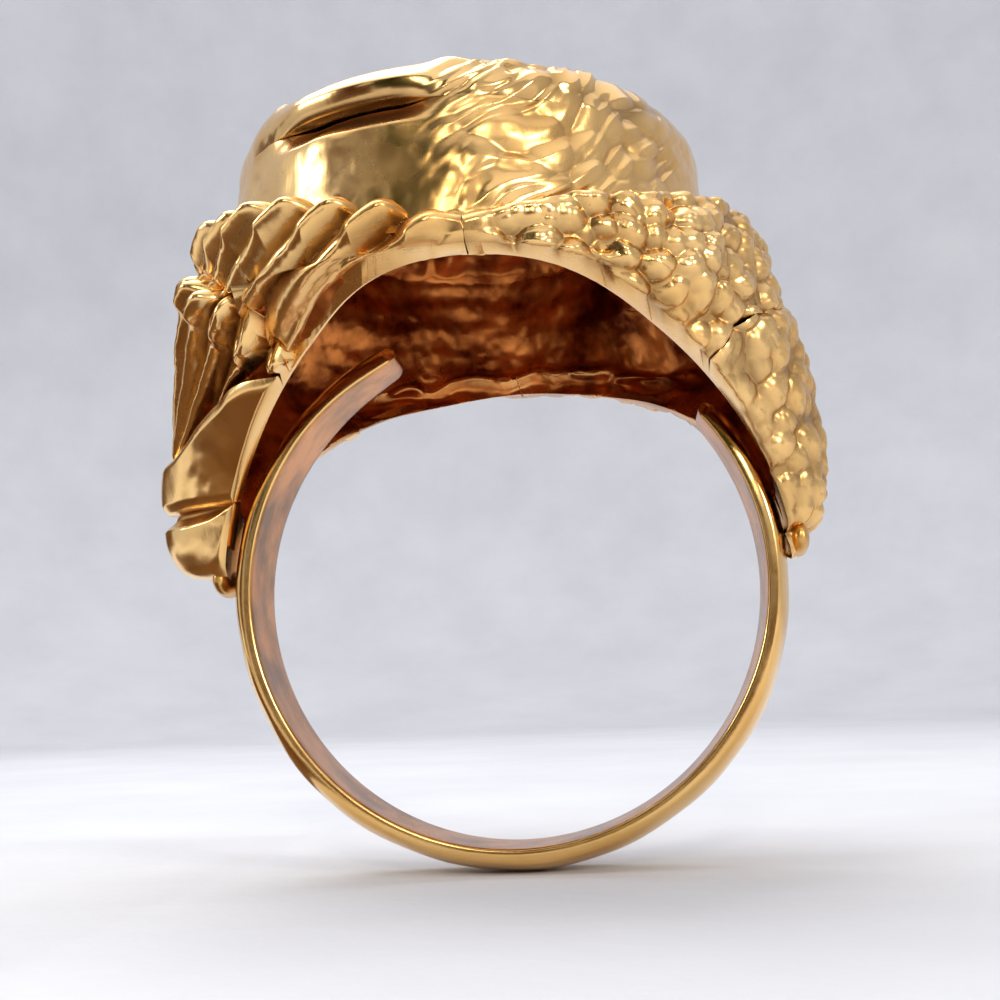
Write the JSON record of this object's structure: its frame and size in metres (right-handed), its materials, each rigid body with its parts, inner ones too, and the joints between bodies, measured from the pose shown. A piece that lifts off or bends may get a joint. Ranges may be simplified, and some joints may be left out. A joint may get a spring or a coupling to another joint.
{
  "type": "cocktail ring",
  "caption": "Large gold-tone cocktail ring with a hollow sculpted top and domed oval crown on a slim soldered band.",
  "frame": {"origin": "centre of the finger bore, midway along the band's width", "axes": "+Y along the finger, +Z from the bore to the crown, +X across the top towards the pebbled shoulder"},
  "size_m": [0.0223, 0.0198, 0.025],
  "materials": {
    "polished_gold": "polished gold plate, lightly worn",
    "band_gold": "polished gold plate, fine scratches",
    "textured_gold": "gold plate over cast texture",
    "solder_gold": "satin gold solder"
  },
  "bodies": {
    "root": {"shank_band": "band_gold", "crown_wall": "textured_gold", "crown_cap": "polished_gold", "left_tier_upper": "textured_gold", "left_tier_middle": "textured_gold", "left_tier_lower": "textured_gold", "left_toe": "textured_gold", "right_pebbles_upper": "textured_gold", "right_pebbles_lower": "textured_gold", "solder_left": "solder_gold", "solder_right": "solder_gold"}
  },
  "joints": []
}
